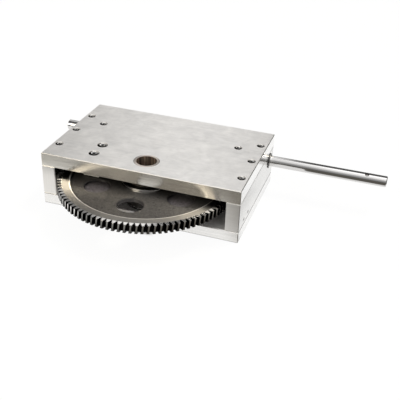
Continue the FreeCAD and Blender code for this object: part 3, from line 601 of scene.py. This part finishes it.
def shaft_finish():
    """Ground and polished steel shaft: faint rings, a darker cut worm, and painted shade in corners, inside
    the cross hole and on the lower end edge.
    """
    material, tree, surface, place, _ = new_finish("shaft_steel", Metallic=1.0)
    length, along, high = parts_of(tree, place)
    behind = calc(tree, "SUBTRACT", along, SHAFT_BACK)
    above = calc(tree, "SUBTRACT", high, SHAFT_HEIGHT)
    lean = math.radians(CROSS_HOLE_LEAN)
    beside_hole = sum_of(tree, product(tree, above, math.sin(lean)), (behind, math.cos(lean)))
    up_hole = sum_of(tree, product(tree, behind, -math.sin(lean)), (above, math.cos(lean)))
    from_hole = radius_of(tree, calc(tree, "SUBTRACT", length, CROSS_HOLE_X), beside_hole)
    inside_hole = remap(tree, from_hole, CROSS_HOLE_RADIUS + 0.25 * MM, CROSS_HOLE_RADIUS + 0.1 * MM)
    hole = product(tree, inside_hole, remap(tree, up_hole, 3.4 * MM, 4.4 * MM))
    end_edge = product(tree, remap(tree, length, SHAFT_END - 1.0 * MM, SHAFT_END - 0.7 * MM),
                       remap(tree, above, -1.5 * MM, 0.5 * MM))
    worm = remap(tree, calc(tree, "ABSOLUTE", length), WORM_REACH + 2.0 * MM, WORM_REACH - 2.0 * MM)

    marks = marks_on(tree, length, 0.6 * MM, 1.4)
    cloud = cloud_on(tree, place, 30.0 * MM, 1.4)
    tone = sum_of(tree, 0.9, (cloud, 0.08), (marks, 0.06))
    colour = painted(tree, scaled(tree, (0.70, 0.69, 0.68), tone),
                     (product(tree, worm, 0.5), (0.45, 0.43, 0.40)),
                     (edge_on(tree, 0.5 * MM, 0.6), (0.86, 0.85, 0.84)),
                     # Corners, the inside of the cross hole and the lower end edge, near black: painted
                     # shade
                     (largest(tree, corner_shade_on(tree, 3.0 * MM, 0.8), hole, end_edge), (0.03, 0.027, 0.024)))
    roughness = sum_of(tree, 0.08, (marks, 0.06), (worm, 0.12))
    finish_with(tree, surface, colour, roughness, marks, 0.002 * MM)
    return material


def steel_finish(name, colour, least_roughness, corner_shade_amount, head_side_shade=0.0):
    """Small steel pieces: clouded plating, bright edges, corners painted dark as shade and, on screws, head
    sides painted dark as shade.
    """
    material, tree, surface, place, normal = new_finish(name, Metallic=1.0)
    _, _, high = parts_of(tree, place)
    _, _, upward = parts_of(tree, normal)
    half_height = (SCREW_TOP - LOWER_SCREW_TOP) / 2.0
    from_middle = calc(tree, "ABSOLUTE", calc(tree, "SUBTRACT", high, LOWER_SCREW_TOP + half_height))
    below_top = remap(tree, from_middle, half_height - 0.5 * MM, half_height - 0.8 * MM)
    head_side = largest(tree, below_top, remap(tree, calc(tree, "ABSOLUTE", upward), 0.93, 0.88))
    # Corners and the sides of screw heads darkened: painted shade
    painted_shade = largest(tree, corner_shade_on(tree, 3.0 * MM, corner_shade_amount), product(tree, head_side, head_side_shade))
    cloud = cloud_on(tree, place, 4.0 * MM, 1.8)
    shade = painted(tree, scaled(tree, colour, sum_of(tree, 0.86, (cloud, 0.25))),
                    (edge_on(tree, 0.3 * MM, 0.7), (0.82, 0.81, 0.80)),
                    (painted_shade, CORNER_SHADE_BLACK))
    finish_with(tree, surface, shade, sum_of(tree, least_roughness, (cloud, 0.14)), cloud, 0.01 * MM)
    return material


def pad_finish():
    """Milled plastic pad, off white with cutter lines."""
    material, tree, surface, place, _ = new_finish("pad_plastic", Metallic=0.0)
    lines = lines_on(tree, place, (900.0, 40.0, 900.0), 1.4)
    cloud = cloud_on(tree, place, 10.0 * MM, 1.2)
    colour = mix_colour(tree, cloud, (0.74, 0.71, 0.64), (0.82, 0.80, 0.74))
    finish_with(tree, surface, colour, sum_of(tree, 0.38, (lines, 0.15)), lines, 0.02 * MM)
    return material


FINISHES = {
    "top_plate_aluminium": plate_finish(
        "top_plate_aluminium", face_colour=(0.835, 0.82, 0.80), side_colour=(0.93, 0.90, 0.84),
        face_roughness=0.36, side_roughness=0.18, face_metal=1.0, level_front=False),
    "bottom_plate_aluminium": plate_finish(
        "bottom_plate_aluminium", face_colour=(0.74, 0.73, 0.71), side_colour=(0.90, 0.89, 0.87),
        face_roughness=0.36, side_roughness=0.24, face_metal=0.2, level_front=True),
    "block_aluminium": block_finish(
        "block_aluminium", (0.84, 0.82, 0.78), lines_per_metre=(1900.0, 1900.0, 18.0), level_front=True),
    "wheel_iron": wheel_finish(),
    # Bush bores are painted dark bronze as shade
    "bush_bronze": bush_finish("bush_bronze", (0.36, 0.325, 0.295), bore_colour=(0.15, 0.088, 0.066)),
    # The hub washers are painted near black throughout, as shade under the plate
    "washer_bronze": bush_finish("washer_bronze", (0.07, 0.055, 0.042), bore_colour=(0.06, 0.048, 0.036)),
    "shaft_steel": shaft_finish(),
    "ring_steel": steel_finish("ring_steel", (0.07, 0.068, 0.066), least_roughness=0.3, corner_shade_amount=0.6),
    "post_steel": steel_finish("post_steel", (0.5, 0.5, 0.49), least_roughness=0.28, corner_shade_amount=0.6),
    "screw_steel": steel_finish("screw_steel", (0.88, 0.87, 0.86), least_roughness=0.2, corner_shade_amount=1.0,
                                head_side_shade=0.95),
    "pad_plastic": pad_finish(),
}
RIGHT_BLOCK_FINISH = block_finish(
    "right_block_aluminium", (0.78, 0.77, 0.75), lines_per_metre=(30.0, 30.0, 2100.0), level_front=False)

for part in frame["record"]["subparts"]:
    finish = FINISHES[part["material_slot"]]
    if part["node"] == "right_end_block":
        finish = RIGHT_BLOCK_FINISH
    for slot in frame["nodes"][part["node"]].material_slots:
        slot.material = finish


# Cap screws

SCREW_AROUND = 48               # points round a screw, of which every second one is a groove of the knurl
SCREW_ROWS = 13                 # rows of points that screw_profile gives
SCREW_BREAK = 0.25 * MM         # height or width of the small edge breaks on a screw
SCREW_SIZES = ("Head Radius", "Head Height", "Chamfer", "Socket Width", "Socket Depth", "Knurl Depth",
               "Shank Radius", "Shank Length")


def screw_profile(tree, given, angle, step):
    """Radius and height of a cap screw's rows, from the socket's point over the head to the shank's tip."""
    sixth = math.pi / 3.0
    from_flat = calc(tree, "SUBTRACT", calc(tree, "FLOORED_MODULO", angle, sixth), sixth / 2.0)
    half_width = product(tree, given["Socket Width"], 0.5)
    socket = calc(tree, "DIVIDE", half_width, calc(tree, "COSINE", from_flat))
    # The socket's lip lies between the hexagon and the circle round its corners, and a little outside
    corner = product(tree, half_width, 1.16)
    lip = largest(tree, product(tree, calc(tree, "ADD", socket, corner), 0.535), socket)
    groove = product(tree, calc(tree, "FLOORED_MODULO", step, 2.0), given["Knurl Depth"])
    side = calc(tree, "SUBTRACT", given["Head Radius"], groove)
    top_edge = calc(tree, "SUBTRACT", given["Head Radius"], given["Chamfer"])
    foot_edge = calc(tree, "SUBTRACT", given["Head Radius"], SCREW_BREAK)
    tip = product(tree, given["Shank Radius"], 0.82)

    dish = product(tree, calc(tree, "SUBTRACT", top_edge, lip), 0.2)
    socket_floor = product(tree, given["Socket Depth"], -1.0)
    socket_point = calc(tree, "SUBTRACT", socket_floor, product(tree, half_width, 0.45))
    chamfer_foot = product(tree, given["Chamfer"], -0.7)
    head_bottom = product(tree, given["Head Height"], -1.0)
    shank_end = calc(tree, "SUBTRACT", head_bottom, given["Shank Length"])
    return [
        (0.0, socket_point),
        (socket, socket_floor),
        (socket, calc(tree, "SUBTRACT", -SCREW_BREAK, dish)),
        (lip, product(tree, dish, -1.0)),
        (top_edge, 0.0),
        (given["Head Radius"], chamfer_foot),
        (side, calc(tree, "SUBTRACT", chamfer_foot, SCREW_BREAK)),
        (side, calc(tree, "ADD", head_bottom, SCREW_BREAK)),
        (foot_edge, head_bottom),
        (given["Shank Radius"], head_bottom),
        (given["Shank Radius"], calc(tree, "ADD", shank_end, 4.0 * SCREW_BREAK)),
        (tip, shank_end),
        (0.0, shank_end),
    ]


def value_of_row(tree, row, values):
    """One of several values, picked by the number of the row."""
    switch = tree.nodes.new("GeometryNodeIndexSwitch")
    switch.data_type = "FLOAT"
    while len(switch.index_switch_items) < len(values):
        switch.index_switch_items.new()
    tree.links.new(row, switch.inputs["Index"])
    for number, value in enumerate(values):
        if isinstance(value, bpy.types.NodeSocket):
            tree.links.new(value, switch.inputs[number + 1])
        else:
            switch.inputs[number + 1].default_value = value
    return switch.outputs[0]


def cap_screw_tree():
    """Socket cap screws on points: hexagon socket in a dished top, chamfer, knurled side and shank."""
    tree = bpy.data.node_groups.new("cap screws", "GeometryNodeTree")
    tree.interface.new_socket("Points", in_out="INPUT", socket_type="NodeSocketGeometry")
    for label in SCREW_SIZES:
        tree.interface.new_socket(label, in_out="INPUT", socket_type=VALUE)
    tree.interface.new_socket("Finish", in_out="INPUT", socket_type="NodeSocketMaterial")
    tree.interface.new_socket("Screws", in_out="OUTPUT", socket_type="NodeSocketGeometry")
    given = tree.nodes.new("NodeGroupInput").outputs

    grid = add(tree, "GeometryNodeMeshGrid", {"Vertices X": SCREW_AROUND + 1, "Vertices Y": SCREW_ROWS})
    around, down, _ = parts_of(tree, grid.outputs["UV Map"])
    angle = product(tree, around, 2.0 * math.pi)
    step = calc(tree, "ROUND", product(tree, around, float(SCREW_AROUND)))
    row = calc(tree, "ROUND", product(tree, down, float(SCREW_ROWS - 1)))
    radii, heights = zip(*screw_profile(tree, given, angle, step))
    radius = value_of_row(tree, row, radii)
    spot = add(tree, "ShaderNodeCombineXYZ", {
        0: product(tree, radius, calc(tree, "COSINE", angle)),
        1: product(tree, radius, calc(tree, "SINE", angle)),
        2: value_of_row(tree, row, heights)})
    shaped = add(tree, "GeometryNodeSetPosition",
                 {"Geometry": grid.outputs["Mesh"], "Position": spot.outputs[0]})
    welded = add(tree, "GeometryNodeMergeByDistance",
                 {"Geometry": shaped.outputs[0], "Distance": 0.002 * MM})
    bend = add(tree, "GeometryNodeInputMeshEdgeAngle", {}).outputs["Unsigned Angle"]
    gentle = add(tree, "FunctionNodeCompare", {0: bend, 1: math.radians(28.0)}, data_type="FLOAT",
                 operation="LESS_THAN").outputs[0]
    smooth = add(tree, "GeometryNodeSetShadeSmooth",
                 {"Geometry": welded.outputs[0], "Shade Smooth": gentle}, domain="EDGE")

    turn = add(tree, "GeometryNodeInputNamedAttribute", {"Name": "turn"}, data_type="FLOAT_VECTOR")
    placed = add(tree, "GeometryNodeInstanceOnPoints",
                 {"Points": given["Points"], "Instance": smooth.outputs[0], "Rotation": turn.outputs[0]})
    real = add(tree, "GeometryNodeRealizeInstances", {"Geometry": placed.outputs[0]})
    dressed = add(tree, "GeometryNodeSetMaterial",
                  {"Geometry": real.outputs[0], "Material": given["Finish"]})
    end = tree.nodes.new("NodeGroupOutput")
    tree.links.new(dressed.outputs[0], end.inputs["Screws"])
    return tree


CAP_SCREWS = cap_screw_tree()
SOCKET_TURNS = (0.30, 0.34, 0.27, 0.31, 0.25, 0.35)     # radians about each screw's own axis


def set_screws(node_name, points, turns, sizes):
    """Puts cap screws on their points in place of a group of plain ones."""
    mesh = bpy.data.meshes.new(node_name + "_points")
    mesh.from_pydata(points, [], [])
    turn = mesh.attributes.new("turn", "FLOAT_VECTOR", "POINT")
    for number, angles in enumerate(turns):
        turn.data[number].vector = angles
    carrier = bpy.data.objects.new(node_name + "_points", mesh)
    bpy.context.scene.collection.objects.link(carrier)
    modifier = carrier.modifiers.new("cap screws", "NODES")
    modifier.node_group = CAP_SCREWS
    sockets = CAP_SCREWS.interface.items_tree
    identifiers = {socket.name: socket.identifier for socket in sockets if socket.in_out == "INPUT"}
    for label, size in sizes.items():
        modifier[identifiers[label]] = size
    modifier[identifiers["Finish"]] = FINISHES["screw_steel"]
    bpy.context.view_layer.update()
    evaluated = carrier.evaluated_get(bpy.context.evaluated_depsgraph_get())
    made = bpy.data.meshes.new_from_object(evaluated)
    carrier.modifiers.remove(modifier)
    bpy.data.objects.remove(carrier)
    piece = bpy.data.objects.new(node_name + "_detailed", made)
    bpy.context.scene.collection.objects.link(piece)
    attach(piece, "housing")
    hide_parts(node_name)


SMALL_HEAD = {"Head Radius": 2.87 * MM, "Head Height": 3.5 * MM, "Chamfer": 0.3 * MM,
              "Socket Width": 2.78 * MM, "Socket Depth": 1.7 * MM, "Knurl Depth": 0.07 * MM,
              "Shank Radius": 1.3 * MM}
PAD_HEAD = {"Head Radius": 3.96 * MM, "Head Height": 4.8 * MM, "Chamfer": 0.4 * MM,
            "Socket Width": 3.97 * MM, "Socket Depth": 2.4 * MM, "Knurl Depth": 0.1 * MM,
            "Shank Radius": 1.8 * MM}
BLOCK_SPOTS = [(side * BLOCK_SCREW_X, along) for side in (-1, 1) for along in BLOCK_SCREW_ROWS]
POST_SPOTS = [(side * POST_SCREW[0], POST_SCREW[1]) for side in (-1, 1)]
PAD_SPOTS = [(PAD_SCREW_X, along) for along in PAD_SCREW_ROWS]
UPRIGHT = 0.0                   # turns of a screw about X
UPSIDE_DOWN = math.pi
SCREW_GROUPS = (
    ("top_block_screws", BLOCK_SPOTS, SCREW_TOP, UPRIGHT, SMALL_HEAD),
    ("top_post_screws", POST_SPOTS, SCREW_TOP, UPRIGHT, SMALL_HEAD),
    ("steady_pad_screws", PAD_SPOTS, SCREW_TOP, UPRIGHT, PAD_HEAD),
    ("bottom_block_screws", BLOCK_SPOTS, LOWER_SCREW_TOP, UPSIDE_DOWN, SMALL_HEAD),
    ("bottom_post_screws", POST_SPOTS, LOWER_SCREW_TOP, UPSIDE_DOWN, SMALL_HEAD),
)

for node_name, spots, top, flip, head in SCREW_GROUPS:
    points = [(across, along, top) for across, along in spots]
    turns = [(flip, 0.0, turn) for turn in SOCKET_TURNS[:len(spots)]]
    low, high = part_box(node_name)
    shank_length = high.z - low.z - head["Head Height"]
    set_screws(node_name, points, turns, {**head, "Shank Length": shank_length})


# Studio
# What the metal mirrors is graded in fields on the floor and in the surround. The camera sees both as white,
# apart from a soft shadow and the floor under the plates.

WHITE = (1.0, 1.0, 1.0)
FLOOR_GREY = (0.25, 0.25, 0.24)
FLOOR_DIM = (0.126, 0.118, 0.104)
RIGHT_WHITE = (1.0, 1.0, 0.98)
TOP_LEFT_GREY = (0.12, 0.12, 0.12)
SOFT_BOX_LIGHT = (19.0, 17.9, 15.8)
FLOOR_REACH = 6.0
FLOOR_CORNERS = [(-FLOOR_REACH, -FLOOR_REACH, 0), (FLOOR_REACH, -FLOOR_REACH, 0),
                 (FLOOR_REACH, FLOOR_REACH, 0), (-FLOOR_REACH, FLOOR_REACH, 0)]


def studio_floor():
    """A wide pale floor that looks white, keeps a soft shadow and is mirrored with darker fields."""
    mesh = bpy.data.meshes.new("floor")
    mesh.from_pydata(FLOOR_CORNERS, [], [(0, 1, 2, 3)])
    floor = bpy.data.objects.new("floor", mesh)
    bpy.context.scene.collection.objects.link(floor)
    material, tree, surface, place, _ = new_finish(
        "floor_paper", Base_Color=(0.93, 0.93, 0.93, 1.0), Roughness=0.9, Specular_IOR_Level=0.0)
    across, along, _ = parts_of(tree, place)
    light_path = add(tree, "ShaderNodeLightPath", {}).outputs
    mirrored = largest(tree, light_path["Is Glossy Ray"], light_path["Is Transmission Ray"])

    # Mirrored fields, painted shade on the floor that only reflections show: dim to the front right and
    # beside the right block, grey in front of the wheel
    front_right = calc(tree, "SUBTRACT", product(tree, calc(tree, "MINIMUM", across, 0.2), 1.35), along)
    border = calc(tree, "SUBTRACT", along, remap(tree, across, 0.157, 0.172, -0.02, 0.088, "LINEAR"))
    beside_block = product(tree, remap(tree, across, 0.12, 0.135), remap(tree, border, 0.011, -0.011))
    dim = product(tree, mirrored, largest(tree, remap(tree, front_right, 0.17, 0.26), beside_block))
    far = product(tree, mirrored, remap(tree, along, -0.106, -0.128))
    paper = painted(tree, WHITE, (far, FLOOR_GREY), (dim, FLOOR_DIM))

    # How much of the floor shows its own white or its fields, and how much stays lit and shaded
    under_plates = product(tree, band(tree, along, (-0.054, -0.046), (0.08, 0.10)),
                           band(tree, across, (-0.07, -0.06), (0.02, 0.03)))
    for_camera = product(tree, light_path["Is Camera Ray"], mix_value(tree, under_plates, 0.94, 0.0))
    below_wheel = product(tree, remap(tree, radius_of(tree, across, along), 0.1, 0.085),
                          remap(tree, across, -0.012, -0.016))
    in_fields = mix_value(tree, largest(tree, dim, far), 0.92, 1.0)
    for_metal = product(tree, mirrored, mix_value(tree, below_wheel, in_fields, 0.0))
    shown = add(tree, "ShaderNodeEmission", {"Color": paper, "Strength": 1.0}).outputs[0]
    both = add(tree, "ShaderNodeMixShader",
               {0: largest(tree, for_camera, for_metal), 1: surface.outputs[0], 2: shown})
    tree.links.new(both.outputs[0], tree.nodes["Material Output"].inputs["Surface"])
    mesh.materials.append(material)


def grey_ramp(tree, value, stops):
    """Greys along a value, from pairs of position and grey."""
    made = add(tree, "ShaderNodeValToRGB", {0: value})
    elements = made.color_ramp.elements
    while len(elements) < len(stops):
        elements.new(1.0)
    for element, (position, grey) in zip(elements, stops):
        element.position = position
        element.color = (grey, grey, grey, 1.0)
    return made.outputs[0]


def studio_world():
    """Surround by direction: pale at the back left and the right, dark at the back right, one soft box."""
    world = bpy.data.worlds.new("studio")
    bpy.context.scene.world = world
    world.use_nodes = True
    tree = world.node_tree
    direction = add(tree, "ShaderNodeTexCoord", {}).outputs["Generated"]
    across, along, high = parts_of(tree, direction)
    back_left = grey_ramp(tree, high, ((0.0, 0.16), (0.2, 0.4), (0.38, 1.07), (0.6, 1.2)))
    back_right = grey_ramp(tree, high, ((0.0, 0.07), (0.9, 0.1), (0.95, 0.3), (0.98, 1.8)))
    front = grey_ramp(tree, high, ((0.0, 0.12), (0.28, 0.3), (0.62, 0.5), (0.85, 1.1)))
    back = mix_colour(tree, remap(tree, across, -0.165, -0.12), back_left, back_right)
    top_left = product(tree, remap(tree, across, -0.3, -0.36), remap(tree, high, 0.80, 0.88),
                       remap(tree, along, 0.30, 0.20))
    soft_box = product(tree, band(tree, across, (0.22, 0.28), (0.42, 0.48)),
                       band(tree, along, (0.16, 0.24), (0.52, 0.60)), remap(tree, high, 0.62, 0.70))
    mixed = painted(tree, mix_colour(tree, remap(tree, along, -0.45, 0.35), front, back),
                    (remap(tree, across, 0.55, 0.8), RIGHT_WHITE),
                    (top_left, TOP_LEFT_GREY),
                    (soft_box, SOFT_BOX_LIGHT))

    # The far left is dimmer, most of all high up, and everything right of the middle a little brighter
    far_left = remap(tree, across, -0.5, -0.32, 0.48, 0.88, "LINEAR")
    right = remap(tree, across, -0.16, -0.06, 1.0, 1.3)
    upper_left = product(tree, remap(tree, across, -0.40, -0.52), remap(tree, high, 0.50, 0.60))
    level = product(tree, far_left, right, sum_of(tree, 1.0, (upper_left, -0.6)))
    from_camera = add(tree, "ShaderNodeLightPath", {}).outputs["Is Camera Ray"]
    background = tree.nodes["Background"]
    tree.links.new(painted(tree, scaled(tree, mixed, level), (from_camera, WHITE)),
                   background.inputs["Color"])
    background.inputs["Strength"].default_value = 1.0


def soft_lamp(name, place, aim, size, watts, colour):
    """A square area lamp, turned towards its aim."""
    lamp = bpy.data.lights.new(name, "AREA")
    lamp.shape = "SQUARE"
    lamp.size = size
    lamp.energy = watts
    lamp.color = colour
    holder = bpy.data.objects.new(name, lamp)
    holder.location = place
    holder.rotation_euler = (Vector(aim) - Vector(place)).to_track_quat("-Z", "Y").to_euler()
    bpy.context.scene.collection.objects.link(holder)


def photo_camera():
    """The camera where the photo was taken from."""
    camera = bpy.data.cameras.new("camera")
    camera.lens = CAMERA_LENS
    camera.sensor_width = CAMERA_SENSOR
    camera.clip_start = 10.0 * MM
    holder = bpy.data.objects.new("camera", camera)
    turn = Matrix.Rotation(math.radians(CAMERA_AZIMUTH), 4, "Z")
    tilt = Matrix.Rotation(math.radians(90.0 - CAMERA_ELEVATION), 4, "X")
    roll = Matrix.Rotation(math.radians(CAMERA_ROLL), 4, "Z")
    holder.matrix_world = Matrix.Translation(CAMERA_PLACE) @ turn @ tilt @ roll
    bpy.context.scene.collection.objects.link(holder)
    bpy.context.scene.camera = holder


studio_floor()
studio_world()
soft_lamp("front_left", place=(-0.62, -1.10, 0.72), aim=(0.0, 0.0, 0.0), size=0.6, watts=10.4,
          colour=(1.0, 0.92, 0.78))
photo_camera()
bpy.context.scene.view_settings.view_transform = "Standard"
